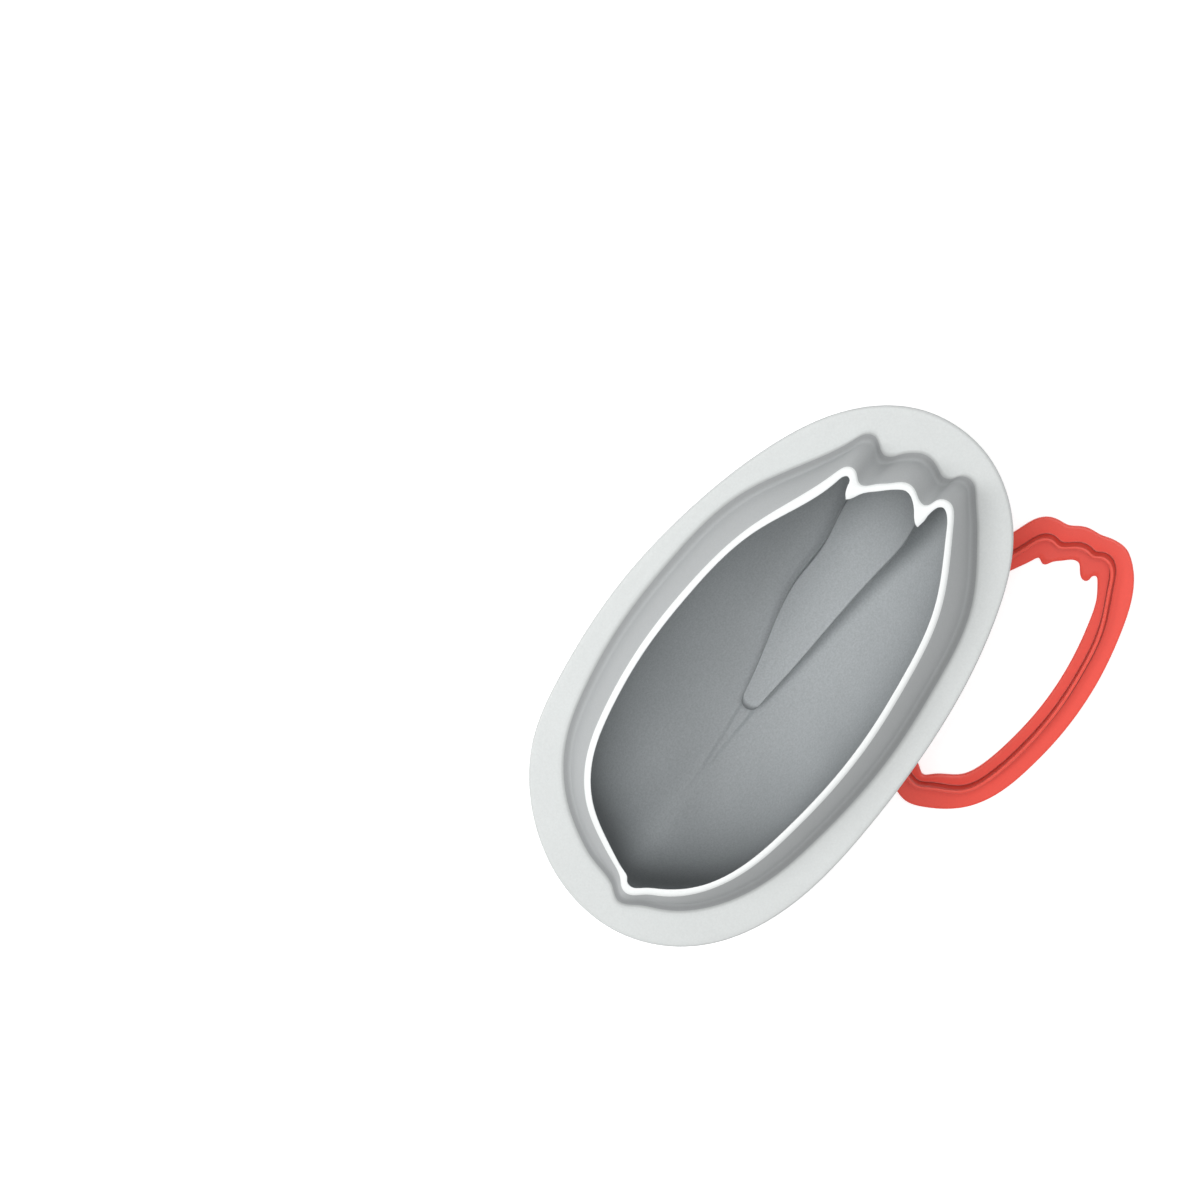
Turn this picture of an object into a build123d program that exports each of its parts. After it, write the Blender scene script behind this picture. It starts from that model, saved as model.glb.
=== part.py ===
"""Deep silicone mould whose cavity is two shell halves with a core between them, and a ring cutter of its outline.

Millimetres. X runs from the stem end to the open end, Y to the left, Z up.
The origin is on the table, under the middle of the mould's foot.
"""
from build123d import *
from math import cos, hypot, pi, radians, sin, sqrt
import os

os.makedirs("parts", exist_ok=True)

# Cavity: the form is cast upside down, so its base is the rim of the mould
cavity_depth = 93.0         # rim to the deepest point of the shell halves
girth_depth = 32.0          # the cavity is widest this far below the rim
girth_bulge = 10.0          # and this much wider there, all round
side_fullness = 2.2         # superellipse exponents of the form below the girth
open_end_fullness = 2.0
stem_end_fullness = 3.3

# Rim opening, seen from above, from the stem tip round the left side
stem_tip = (-108.8, -1.3)
left_side = [(-100.4, 13.7), (-89.5, 31.6), (-71.7, 43.5), (-51.6, 48.3), (-21.0, 50.7),
             (12.7, 48.5), (50.0, 40.4), (88.4, 24.5)]
left_lobe = (93.2, 21.0)
core_lobe = (100.1, 1.3)
right_lobe = (105.2, -19.2)
right_side = [(101.4, -25.0), (66.0, -40.0), (31.7, -45.7), (3.2, -47.1), (-23.2, -45.6),
              (-51.0, -41.2), (-70.9, -36.3), (-92.0, -25.4), (-104.8, -7.0)]
left_notch = (84.3, 15.7)
right_notch = (91.5, -15.7)
web_length = 6.5            # the solid wedge behind each notch, up to the valley outside
web_lean = 14.0             # degrees by which the wedges lean to the middle
lobe_spread = (20.0, 5.0, -20.0)    # directions in which the lobes grow outwards, in degrees from X

# Slot between the shell halves, where the core lies
slot_tip = (-35.5, -1.6)
slot_tip_radius = 4.0
slot_left = [(-18.0, 5.4), (4.0, 10.0), (22.0, 11.8), (42.0, 10.8), (66.0, 13.6)]
slot_right = [(68.0, -17.1), (51.0, -15.6), (17.0, -11.8), (-9.2, -9.2)]
left_mouth = (140.0, 45.0)  # where the slot's edges leave the form
right_mouth = (140.0, -45.0)

# Core
core_depth = 87.0
core_middle = (-37.0, 0.5)
core_fullness = 2.0
core_half_width = 33.0
core_bulge = 5.0
skew = 0.22                 # the open end is cut askew: X shifts by this share of Y

# Level sections, as shares of the way down to the girth and as angles on the curve below it
upper_shares = (0.0, 0.33, 0.67, 1.0)
lower_angles = (22, 42, 58, 70, 80, 87)
quarter_angles = (0, 35, 60, 90)    # sections of a small quarter round
core_points = 12

# Silicone
wall = 3.0
lip_thickness = 2.5
lip_rounding = 0.8          # of its outer edge
flange_drop = 20.0          # rim to the top of the flange
flange_thickness = 3.0
flange_edge_rounding = 1.3
collar_root = 3.0           # radius of the flare from collar to flange
flange_outline = [(129.6, 9.5), (109.3, 38.0), (80.0, 54.9), (31.5, 69.7), (-9.1, 75.5), (-55.9, 74.5),
                  (-86.1, 68.7), (-113.6, 51.0), (-132.5, 23.2), (-136.3, -9.9), (-121.5, -40.0), (-93.7, -59.1),
                  (-39.8, -70.8), (0.9, -72.8), (44.7, -70.3), (73.2, -64.9), (105.9, -51.6), (128.4, -24.4)]

# Foot: a flat oval pad under the shell, so that it stands level
ground_gap = 2.0            # table to the lowest point of the shell
foot_length = 104.0
foot_width = 42.0
foot_chamfer = 0.8
rim_centre = (14.0, 0.0)    # of the outlines above, from the middle of the foot

# Base cutter: a flat ring with a cutting rib on it, of the rim's outline
cutter_scale = 0.56         # its hole to the rim of the mould; at 1 its hole is as large as the rim
cutter_place = (38.3, -81.4)    # from the mould's rim centre to the cutter's, on the table
ring_thickness = 2.0
ring_width = 14.6           # hole to outer edge
ring_edge_chamfer = 0.5
web_tip_width = 2.6         # of the blunt wedges that reach into the hole
rib_offset = 6.0            # hole to the cutting edge
rib_height = 7.0
rib_base = 2.4
rib_edge = 1.4

cut_margin = 1.0            # by which the slot's tool stands out of the mould, top and bottom
rim_height = cavity_depth + wall + ground_gap


def outward(before, point, after):
    """Unit normal to the left of the way from before to after, for an outline that runs clockwise."""
    across = (before[1] - after[1], after[0] - before[0])
    length = hypot(*across)
    return (across[0] / length, across[1] / length)


def level(height, shift=(0, 0)):
    """A horizontal plane at a height, with the rim's centre as its origin."""
    return Plane((rim_centre[0] + shift[0], rim_centre[1] + shift[1], height))


def moved(point, direction, distance):
    return (point[0] + distance * direction[0], point[1] + distance * direction[1])


def heading(degrees):
    return (cos(radians(degrees)), sin(radians(degrees)))


def rim_points(distance, left_hollow=(), right_hollow=()):
    """The rim moved outwards, from the stem tip round the left side, with points between its lobes if given."""
    points = [stem_tip, *left_side, left_lobe, core_lobe, right_lobe, *right_side]
    outline = []
    for i, point in enumerate(points):
        normal = outward(points[i - 1], point, points[(i + 1) % len(points)])
        outline.append(moved(point, normal, distance))
    first = points.index(left_lobe)
    lobes = [moved(points[first + i], heading(spread), distance) for i, spread in enumerate(lobe_spread)]
    return [*outline[:first], lobes[0], *left_hollow, lobes[1], *right_hollow, lobes[2], *outline[first + 3:]]


def lobed_rim(distance):
    """The rim moved outwards, with a valley on each side of the core's lobe."""
    left_valley = moved(left_notch, heading(-web_lean), web_length)
    right_valley = moved(right_notch, heading(web_lean), web_length)
    return rim_points(distance, [moved(left_valley, heading(0), distance)], [moved(right_valley, heading(0), distance)])


def cutter_outline(distance):
    """The cutter's outline at a distance outside its hole."""
    return [(x * cutter_scale, y * cutter_scale) for x, y in lobed_rim(distance / cutter_scale)]


def cutter_hole():
    """The rim in the cutter's size, with blunt wedges at its notches."""
    half = web_tip_width / 2 / cutter_scale
    tips = []
    for notch, lean in ((left_notch, -web_lean), (right_notch, web_lean)):
        tips.append([moved(notch, heading(lean + 90), side * half) for side in (1, -1)])
    return [(x * cutter_scale, y * cutter_scale) for x, y in rim_points(0, *tips)]


def superellipse(share, fullness):
    return (1 - share**fullness) ** (1 / fullness)


def widening(depth, bulge):
    """How far the form stands outside its rim at a depth above the girth, and at the girth below it."""
    above = max(0.0, 1 - depth / girth_depth)
    return bulge * (1 - above**2)


def drawn_in(points, depth, bottom):
    """An outline as it is at a depth: below the girth it closes in on the bottom."""
    share = max(0.0, (depth - girth_depth) / (bottom - girth_depth))
    side = superellipse(share, side_fullness)
    open_end = superellipse(share, open_end_fullness)
    stem_end = superellipse(share, stem_end_fullness)
    return [(x * (open_end if x > 0 else stem_end), y * side) for x, y in points]


def level_depths(top, bottom):
    """Depths of the level sections, closer together where the form curves more."""
    upper = [top + (girth_depth - top) * share for share in upper_shares]
    lower = [girth_depth + (bottom - girth_depth) * sin(radians(angle)) for angle in lower_angles]
    return upper + lower


def quarter_round(radius, away):
    """How far a quarter circle stands off its wall, at a distance from its end on the wall."""
    into = max(0.0, radius - away)
    return radius - sqrt(radius**2 - into**2)


def collar_outline(rise):
    """The collar's outside at a height above the flange: flared at the root, thinner and rounded at the lip."""
    thickness = wall + (lip_thickness - wall) * rise / flange_drop
    flare = quarter_round(collar_root, rise) - quarter_round(lip_rounding, flange_drop - rise)
    return lobed_rim(widening(flange_drop - rise, girth_bulge) + thickness + flare)


def core_section(depth):
    """The core's oval, askew, at a depth."""
    share = max(0.0, (depth - girth_depth) / (core_depth - girth_depth))
    scale = superellipse(share, core_fullness)
    spread = widening(depth, core_bulge)
    half_length = (core_lobe[0] - core_middle[0] + spread) * scale
    half_width = (core_half_width + spread) * scale
    angles = [2 * pi * i / core_points for i in range(core_points)]
    return [(core_middle[0] + half_length * cos(a) - skew * half_width * sin(a),
             core_middle[1] + half_width * sin(a)) for a in angles]


# Shell halves: the whole rounded form, cut from the mould outside the slot
with BuildPart() as shell_form:
    for depth in level_depths(0, cavity_depth):
        with BuildSketch(level(rim_height - depth)):
            with BuildLine():
                outline = rim_points(widening(depth, girth_bulge))
                Spline(*drawn_in(outline, depth, cavity_depth), periodic=True)
            make_face()
    loft()

with BuildPart() as slot:
    with BuildSketch(level(-cut_margin)):
        with BuildLine():
            left_edge = Spline((slot_tip[0], slot_tip[1] + slot_tip_radius), *slot_left, left_notch, left_lobe,
                               left_mouth)
            right_edge = Spline(right_mouth, right_lobe, right_notch, *slot_right,
                                (slot_tip[0], slot_tip[1] - slot_tip_radius))
            Line(left_edge @ 1, right_edge @ 0)
            ThreePointArc(right_edge @ 1, (slot_tip[0] - slot_tip_radius, slot_tip[1]), left_edge @ 0)
        make_face()
    extrude(amount=rim_height + 2 * cut_margin)

with BuildPart() as core:
    for depth in level_depths(0, core_depth):
        with BuildSketch(level(rim_height - depth)):
            with BuildLine():
                Spline(*core_section(depth), periodic=True)
            make_face()
    loft()
    add(slot.part, mode=Mode.INTERSECT)

with BuildPart() as cavity:
    add(shell_form.part)
    add(slot.part, mode=Mode.SUBTRACT)
    add(core.part)

with BuildPart() as mould:
    # Shell below the flange
    bottom = cavity_depth + wall
    for depth in level_depths(flange_drop, bottom):
        with BuildSketch(level(rim_height - depth)):
            with BuildLine():
                outline = lobed_rim(widening(depth, girth_bulge) + wall)
                Spline(*drawn_in(outline, depth, bottom), periodic=True)
            make_face()
    loft()
    # Collar above the flange, flared into it at the root and rounded at the lip
    root_levels = [collar_root * (1 - cos(radians(angle))) for angle in quarter_angles]
    side_height = flange_drop - collar_root - lip_rounding
    side_levels = [collar_root + side_height * share for share in upper_shares]
    lip_levels = [flange_drop - lip_rounding * (1 - sin(radians(angle))) for angle in quarter_angles]
    for levels, straight in ((root_levels, True), (side_levels, False), (lip_levels, True)):
        for rise in levels:
            with BuildSketch(level(rim_height - flange_drop + rise)):
                with BuildLine():
                    Spline(*collar_outline(rise), periodic=True)
                make_face()
        loft(ruled=straight)
    # Flange, with both edges rounded
    with BuildSketch(level(rim_height - flange_drop - flange_thickness)):
        with BuildLine():
            Spline(*flange_outline, periodic=True)
        make_face()
    extrude(amount=flange_thickness)
    flange_edges = edges(Select.LAST).filter_by(Plane.XY).sort_by(SortBy.LENGTH)[-2:]
    fillet(flange_edges, flange_edge_rounding)
    # Foot
    with BuildSketch():
        Ellipse(foot_length / 2, foot_width / 2)
    extrude(amount=ground_gap + 2 * wall)
    chamfer(edges().group_by(Axis.Z)[0], foot_chamfer)
    add(cavity.part, mode=Mode.SUBTRACT)
mould.part.label = "mould"
export_step(mould.part, "parts/mould.step")

# The cutter lies beside the mould, partly under its flange, with the rib up
with BuildPart() as rib:
    rib_levels = ((0, rib_base), (ring_thickness + rib_height, rib_edge))
    for face_of_rib, how in ((1, Mode.ADD), (-1, Mode.SUBTRACT)):
        for height, thickness in rib_levels:
            with BuildSketch(level(height, cutter_place)):
                with BuildLine():
                    Spline(*cutter_outline(rib_offset + face_of_rib * thickness / 2), periodic=True)
                make_face()
        loft(mode=how)

with BuildPart() as base_cutter:
    with BuildSketch(level(0, cutter_place)):
        with BuildLine():
            Spline(*cutter_outline(ring_width), periodic=True)
        make_face()
        with BuildLine():
            Spline(*cutter_hole(), periodic=True)
        make_face(mode=Mode.SUBTRACT)
    extrude(amount=ring_thickness)
    chamfer(edges().group_by(Axis.Z)[-1], ring_edge_chamfer)
    add(rib.part)
base_cutter.part.label = "base_cutter"
export_step(base_cutter.part, "parts/base_cutter.step")
for piece in (mould, base_cutter):
    print(piece.part.label, round(piece.part.volume), len(piece.part.solids()), piece.part.is_valid)
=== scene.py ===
from math import cos, radians, sin

import bmesh
import bpy
import numpy as np
from mathutils import Matrix, Vector


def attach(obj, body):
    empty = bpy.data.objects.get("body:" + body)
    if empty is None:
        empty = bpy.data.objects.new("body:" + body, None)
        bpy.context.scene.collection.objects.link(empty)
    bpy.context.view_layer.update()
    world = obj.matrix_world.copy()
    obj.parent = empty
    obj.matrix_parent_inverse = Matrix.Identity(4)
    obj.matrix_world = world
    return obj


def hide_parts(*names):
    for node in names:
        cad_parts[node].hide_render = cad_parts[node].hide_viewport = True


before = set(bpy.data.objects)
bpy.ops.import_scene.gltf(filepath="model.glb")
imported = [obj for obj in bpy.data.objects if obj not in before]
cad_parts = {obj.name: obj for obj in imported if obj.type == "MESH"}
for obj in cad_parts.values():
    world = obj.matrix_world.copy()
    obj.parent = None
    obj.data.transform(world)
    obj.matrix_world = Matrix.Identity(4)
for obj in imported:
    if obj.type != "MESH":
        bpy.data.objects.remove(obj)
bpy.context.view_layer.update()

# Sizes of the solids, in millimetres: outlines from the rim's centre, depths from the rim
cavity_depth = 93.0
girth_depth = 32.0
girth_bulge = 10.0
side_fullness = 2.2
open_end_fullness = 2.0
stem_end_fullness = 3.3
stem_tip = (-108.8, -1.3)
left_side = [(-100.4, 13.7), (-89.5, 31.6), (-71.7, 43.5), (-51.6, 48.3), (-21.0, 50.7),
             (12.7, 48.5), (50.0, 40.4), (88.4, 24.5)]
left_lobe = (93.2, 21.0)
core_lobe = (100.1, 1.3)
right_lobe = (105.2, -19.2)
right_side = [(101.4, -25.0), (66.0, -40.0), (31.7, -45.7), (3.2, -47.1), (-23.2, -45.6),
              (-51.0, -41.2), (-70.9, -36.3), (-92.0, -25.4), (-104.8, -7.0)]
left_notch = (84.3, 15.7)
right_notch = (91.5, -15.7)
web_length = 6.5
web_lean = 14.0
lobe_spread = (20.0, 5.0, -20.0)
slot_tip = (-35.5, -1.6)
slot_tip_radius = 4.0
slot_left = [(-18.0, 5.4), (4.0, 10.0), (22.0, 11.8), (42.0, 10.8), (66.0, 13.6)]
slot_right = [(68.0, -17.1), (51.0, -15.6), (17.0, -11.8), (-9.2, -9.2)]
left_mouth = (140.0, 45.0)
right_mouth = (140.0, -45.0)
core_depth = 87.0
core_middle = (-37.0, 0.5)
core_half_width = 33.0
core_bulge = 5.0
core_points = 12
skew = 0.22
wall = 3.0
lip_thickness = 2.5
lip_rounding = 0.8
flange_drop = 20.0
flange_thickness = 3.0
flange_edge_rounding = 1.3
collar_root = 3.0
flange_outline = [(129.6, 9.5), (109.3, 38.0), (80.0, 54.9), (31.5, 69.7), (-9.1, 75.5),
                  (-55.9, 74.5), (-86.1, 68.7), (-113.6, 51.0), (-132.5, 23.2), (-136.3, -9.9),
                  (-121.5, -40.0), (-93.7, -59.1), (-39.8, -70.8), (0.9, -72.8), (44.7, -70.3),
                  (73.2, -64.9), (105.9, -51.6), (128.4, -24.4)]
foot_length = 104.0
foot_width = 42.0
foot_chamfer = 0.8
rim_centre = (14.0, 0.0)
rim_height = 98.0
cutter_scale = 0.56
cutter_place = (38.3, -81.4)
ring_thickness = 2.0
ring_width = 14.6
rib_offset = 6.0
rib_height = 7.0
rib_base = 2.4
rib_edge = 1.4

# Places of the side lobes among the rim's points, and how many points the rim has
lobe_at = 1 + len(left_side)
right_at = lobe_at + 2
rim_count = right_at + 1 + len(right_side)

# Shapes of the ends, finer than in the solids: the cavity's rim, the lip's outer edge and the
# collar's root. Each goes from the stem tip round the left side, and its sections meet at the
# lobes and in the hollows between them.
rim_shape = {
    "stem": [(-109.9, -0.9), (-109.0, 1.8), (-107.3, 2.9), (-105.7, 5.8), (-102.3, 12.5),
             (-98.0, 19.8)],
    "left": [(88.3, 23.7), (91.3, 22.6)],
    "left_web": [(92.3, 21.2), (91.4, 19.7), (88.9, 19.1), (84.7, 17.6)],
    "core": [(83.5, 16.5), (84.4, 15.4), (89.8, 12.1), (93.4, 8.1), (97.0, 4.1), (100.1, -0.1),
             (101.1, -2.6), (100.7, -4.7), (99.1, -7.1), (96.3, -9.7), (91.2, -13.9)],
    "right_web": [(90.8, -15.1), (92.0, -15.9), (95.4, -15.9), (99.6, -16.3), (102.1, -17.1),
                  (103.4, -18.1)],
    "right": [(103.9, -19.5), (102.7, -21.8), (99.8, -24.1), (95.9, -26.2)],
    "stem_right": [(-103.6, -11.5), (-106.9, -5.9), (-109.3, -2.7)],
}
lip_shape = {
    "stem": [(-113.4, -0.8), (-111.9, 3.0), (-109.6, 4.8), (-108.1, 6.4), (-104.8, 12.2),
             (-100.4, 20.2)],
    "left": [(87.7, 27.2), (92.1, 25.7), (94.3, 24.6)],
    "left_web": [(95.7, 22.8), (95.9, 20.6), (94.9, 18.8), (93.0, 17.0)],
    "core": [(91.9, 15.0), (92.7, 12.8), (95.7, 9.7), (99.0, 5.5), (102.5, 1.5), (103.8, -1.4),
             (103.6, -4.3), (101.8, -7.3), (100.2, -9.8)],
    "right_web": [(99.9, -12.3), (101.2, -13.7), (103.2, -14.5), (105.3, -15.6), (106.7, -17.4)],
    "right": [(107.1, -19.7), (106.4, -22.1), (104.7, -23.9), (100.1, -26.7)],
    "stem_right": [(-106.1, -13.0), (-109.3, -7.4), (-112.4, -3.6)],
}
root_shape = {
    "stem": [(-123.2, -0.9), (-121.6, 2.2), (-118.6, 5.6), (-116.5, 10.2), (-114.0, 18.3),
             (-108.8, 28.2)],
    "left": [(90.7, 31.7), (101.7, 26.2), (105.2, 24.6)],
    "left_web": [(107.0, 22.7), (107.6, 20.5), (106.6, 18.2), (104.4, 15.7)],
    "core": [(102.9, 13.0), (103.6, 10.6), (107.4, 7.0), (110.9, 3.0), (112.8, -0.9),
             (112.8, -4.7), (111.0, -9.1)],
    "right_web": [(109.2, -13.4), (110.7, -16.2), (113.1, -17.8)],
    "right": [(115.0, -21.2), (114.0, -24.9), (111.1, -27.4), (106.8, -30.6), (100.7, -35.2),
              (95.3, -38.8)],
    "stem_right": [(-116.0, -16.6), (-119.6, -8.6), (-122.5, -4.0)],
}
crease_distance = 13.3          # of the collar's root from the rim

# The same for the cutter: its hole, its rib and its outer edge
hole_shape = {
    "stem": [(-60.9, -0.7), (-59.0, 2.5), (-55.9, 8.0)],
    "left": [(42.1, 15.1), (46.4, 12.8)],
    "left_web": [(48.4, 11.2), (47.6, 9.6)],
    "core": [(47.2, 8.2), (47.9, 7.0), (49.5, 6.0), (53.5, 1.9), (56.4, -2.0), (56.5, -4.0),
             (55.3, -5.4), (52.2, -7.8)],
    "right_web": [(51.2, -9.6), (51.5, -11.2), (52.9, -12.0), (54.7, -12.2)],
    "right": [(55.7, -13.3), (53.6, -15.7), (48.5, -18.8)],
    "stem_right": [(-58.7, -3.9)],
}
rib_shape = {
    "stem": [(-65.2, -0.7), (-64.0, 4.5), (-60.5, 11.0)],
    "left": [(50.7, 18.4), (55.4, 16.4)],
    "left_web": [(58.7, 13.4), (59.4, 10.4)],
    "core": [(58.9, 7.4), (61.4, 3.1), (63.7, -0.8), (64.1, -4.5)],
    "right_web": [(63.8, -7.4), (65.2, -9.9)],
    "right": [(65.5, -14.0), (63.0, -17.5), (57.1, -20.6)],
    "stem_right": [(-63.0, -5.5)],
}
ring_shape = {
    "stem": [(-75.1, -0.9), (-73.4, 5.0), (-69.0, 13.5)],
    "left": [(52.3, 26.3), (58.0, 24.0), (62.3, 21.7)],
    "left_web": [(66.0, 17.5), (67.2, 13.0)],
    "core": [(67.6, 9.0), (70.1, 4.4), (71.6, 0.2)],
    "right_web": [(72.0, -5.0), (73.0, -9.0)],
    "right": [(73.6, -14.1), (73.0, -17.9), (70.9, -21.4), (66.7, -25.7)],
    "stem_right": [(-72.9, -9.0)],
}

# Points of the rim that these shapes keep along its two long sides
kept_left = slice(2, 8)
kept_right = slice(13, 20)

# Edges and seams that only the meshes have
inner_lip_rounding = 0.4
seam_start = (-41.0, -2.2)      # a low ridge on the cavity's floor, from the slot's tip to the stem
seam_merge = (-72.0, -1.4)
seam_end = (-108.0, -1.0)
seam_widths = (6.0, 1.4, 1.0)   # at those three places
seam_heights = (1.2, 0.8, 0.2)
seam_edge = 0.5
seam_steepness = 4
ring_rounding = 0.5
ring_foot_rounding = 0.2
rib_top_rounding = 0.35

# Columns of the mesh: close together at the webs and the stem, further apart between them
web_columns = 8
core_columns = 24
edge_columns = 84
side_columns = web_columns + edge_columns + core_columns // 2
finest = 0.6
coarsest = 2.6
ease_length = 16.0
even_share = 0.7                # of the core's spacing; the rest is closer together at its ends
eased_share = 0.3
web_crowding = 1.7
arc_rungs = 30                  # rungs over which the core's end is bent to its arc
tip_rungs = 8                   # and its other end to the slot's tip

# Rows of the mesh: depths, distances and angles, or shares of the way between two lines
wall_depths = (1.2, 4, 8, 12, 16, 20, 24, 28, 30.5)
wall_rows = 46
last_wall_step = 0.9            # millimetres between the last two rows, at most
step_shares = (0, 0.1, 0.35, 0.65, 0.9, 1)
collar_depths = (2, 5, 8.5, 12, 15)
root_angles = range(0, 91, 10)
flange_edge_angles = (0, 30, 60, 90)
flange_top_shares = (0, 0.04, 0.1, 0.2, 0.35, 0.5, 0.7, 0.88)
flange_under_shares = (0.15, 0.4, 0.65, 0.88, 1)
outside_depths = (23.8, 26, 29)
outside_rows = 40
last_outside_step = 0.8
foot_side_shares = (0, 0.2, 0.8, 1)
foot_edge_share = 0.3           # of the chamfer, where its middle row is
foot_bottom_shares = (0.3, 0.6, 0.85)
rib_foot_near = 0.15
rib_foot_far = 0.6
ring_inner_shares = (0.3, 0.7)
ring_outer_shares = (0.1, 0.5, 0.9)
ring_under_shares = (0.05, 0.35, 0.65, 0.95, 1)
round_middle = 1 - 0.5**0.5     # share of a radius, where the middle of its quarter round is

# How finely lines are followed where points are placed on them or a crossing is looked for
outline_step = 0.05
line_samples = 1500
side_samples = 1200
ease_samples = 2000
edge_samples = 600
arc_samples = 200
fall_samples = 160
halvings = 36
edge_search_start = 0.5
core_search_end = 1.7

# From millimetres to the meshes
millimetres = 1000              # in a metre
weld_distance = 1e-5            # metres, up to which points of a piece become one

# Camera: over the rim, tilted towards the open end and rolled as in the photograph
photo_size = 1200
photo_scale = 2.36e3            # picture elements per metre, at the rim's height
rim_centre_in_photo = (770, 680)
camera_distance = 3.5
view_tilt = radians(15)
view_turn = radians(3.45)
view_roll = radians(30.4)
sensor = 36.0

# Lamps, at places in metres from the rim's centre along the picture's axes; room and floor
key_place = (-0.85, -0.15, 0.85)
key_size = 0.7
key_power = 7.5
fill_place = (0.0, 0.0, 1.4)
fill_size = 1.0
fill_power = 9
room_light = 0.42
floor_size = 8
floor_gap = 0.0002
floor_grey = 0.82
floor_lift = 0.55               # what is added to the floor where it is seen directly

# Colours, linear
white = (1, 1, 1, 1)
flange_white = (0.60, 0.62, 0.615)
# Painted light: the lip is the same silicone painted lighter, as its top is lit fully
lip_painted_light_white = (0.80, 0.82, 0.815)
# Painted shade: the collar is the same silicone painted darker, for the shade on its wall
collar_painted_shade_grey = (0.43, 0.445, 0.45)
# Painted shade: the cavity is the same silicone painted darker, for the shade inside it
cavity_painted_shade_grey = (0.415, 0.44, 0.452)
cutter_red = (0.94, 0.086, 0.056)

# Painted light and shade: how light a place is painted, as a factor on its colour
painted_crease_darkness = 0.42             # painted shade: how much darker the collar's root is painted, in its crease
painted_crease_width = 1.1              # millimetres
cavity_shade = 0.62             # how much darker the cavity is where its undercut shades it most
shade_depth = 42                # the depth of that
shade_spread = 22               # and how far it reaches up and down
# painted light: the core is painted lighter, as its face turns up to the light
core_painted_light = 1.08
core_edge_painted_shade = 0.45               # how much darker the edges round the core are painted: painted shade at the steps
rib_foot_painted_shade = 0.4             # painted shade where the cutter's rib stands on the ring
# painted shade on the rib's sides, and down each side from the ring to its top
rib_side_painted_shade = 0.7
rib_painted_shades = [1, rib_foot_painted_shade, rib_foot_painted_shade, rib_side_painted_shade, rib_side_painted_shade, rib_side_painted_shade, 1, 1]

# Surfaces: sizes in metres of what is fine and what is broad in them
grain_size = 0.0008
cloud_size = 0.035
noise_low = 0.25
noise_high = 0.75
bump_strength = 0.6
roughness_change = 0.05

# The mould's materials, by their places: one silicone, painted darker in the cavity and collar,
# lighter on the lip
CAVITY, LIP, COLLAR, FLANGE = range(4)


def picture_axes():
    """The picture's right, its up, and the way back to the camera."""
    along = Vector((cos(view_turn), sin(view_turn), 0))
    sideways = Vector((sin(view_turn), -cos(view_turn), 0))
    up_axis = Vector((0, 0, 1))
    leaning = cos(view_tilt) * along - sin(view_tilt) * up_axis
    back = sin(view_tilt) * along + cos(view_tilt) * up_axis
    right = sin(view_roll) * leaning + cos(view_roll) * sideways
    up = cos(view_roll) * leaning - sin(view_roll) * sideways
    return right.normalized(), up.normalized(), back


def in_picture(right_metres, up_metres, back_metres):
    """A point given from the rim's centre along the picture's axes."""
    right, up, back = picture_axes()
    centre = Vector((*rim_centre, rim_height)) / millimetres
    return centre + right_metres * right + up_metres * up + back_metres * back


def add_camera():
    right, up, back = picture_axes()
    centre_shift = [(photo_size / 2 - pixel) / photo_scale for pixel in rim_centre_in_photo]
    place = in_picture(centre_shift[0], -centre_shift[1], camera_distance)
    data = bpy.data.cameras.new("camera")
    data.sensor_width = sensor
    data.lens = sensor * camera_distance * photo_scale / photo_size
    camera = bpy.data.objects.new("camera", data)
    camera.matrix_world = Matrix((
        (right.x, up.x, back.x, place.x),
        (right.y, up.y, back.y, place.y),
        (right.z, up.z, back.z, place.z),
        (0, 0, 0, 1),
    ))
    bpy.context.scene.collection.objects.link(camera)
    bpy.context.scene.camera = camera


def add_light(name, place, size, power):
    """A round lamp that shines at the rim's centre."""
    data = bpy.data.lights.new(name, "AREA")
    data.shape = "DISK"
    data.size = size
    data.energy = power
    light = bpy.data.objects.new(name, data)
    light.location = place
    light.rotation_euler = (place - in_picture(0, 0, 0)).to_track_quat("Z", "Y").to_euler()
    bpy.context.scene.collection.objects.link(light)


def arithmetic(nodes, links, operation, first, second):
    """The result of an operation on two sockets."""
    node = nodes.new("ShaderNodeMath")
    node.operation = operation
    links.new(first, node.inputs[0])
    links.new(second, node.inputs[1])
    return node.outputs[0]


def seen_directly(nodes, links):
    """1 on camera, glossy and transmission rays."""
    path = nodes.new("ShaderNodeLightPath")
    seen = path.outputs["Is Camera Ray"]
    for ray in ("Is Glossy Ray", "Is Transmission Ray"):
        seen = arithmetic(nodes, links, "MAXIMUM", seen, path.outputs[ray])
    return seen


def set_world():
    """Plain light from all round, with white where it is seen directly."""
    world = bpy.data.worlds.new("world")
    world.use_nodes = True
    bpy.context.scene.world = world
    nodes = world.node_tree.nodes
    links = world.node_tree.links
    nodes.clear()
    mix = nodes.new("ShaderNodeMixShader")
    links.new(seen_directly(nodes, links), mix.inputs[0])
    for place, strength in ((1, room_light), (2, 1.0)):
        background = nodes.new("ShaderNodeBackground")
        background.inputs["Color"].default_value = white
        background.inputs["Strength"].default_value = strength
        links.new(background.outputs[0], mix.inputs[place])
    out = nodes.new("ShaderNodeOutputWorld")
    links.new(mix.outputs[0], out.inputs["Surface"])


def new_material(name):
    material = bpy.data.materials.new(name)
    material.use_nodes = True
    material.node_tree.nodes.clear()
    return material, material.node_tree.nodes, material.node_tree.links


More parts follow.
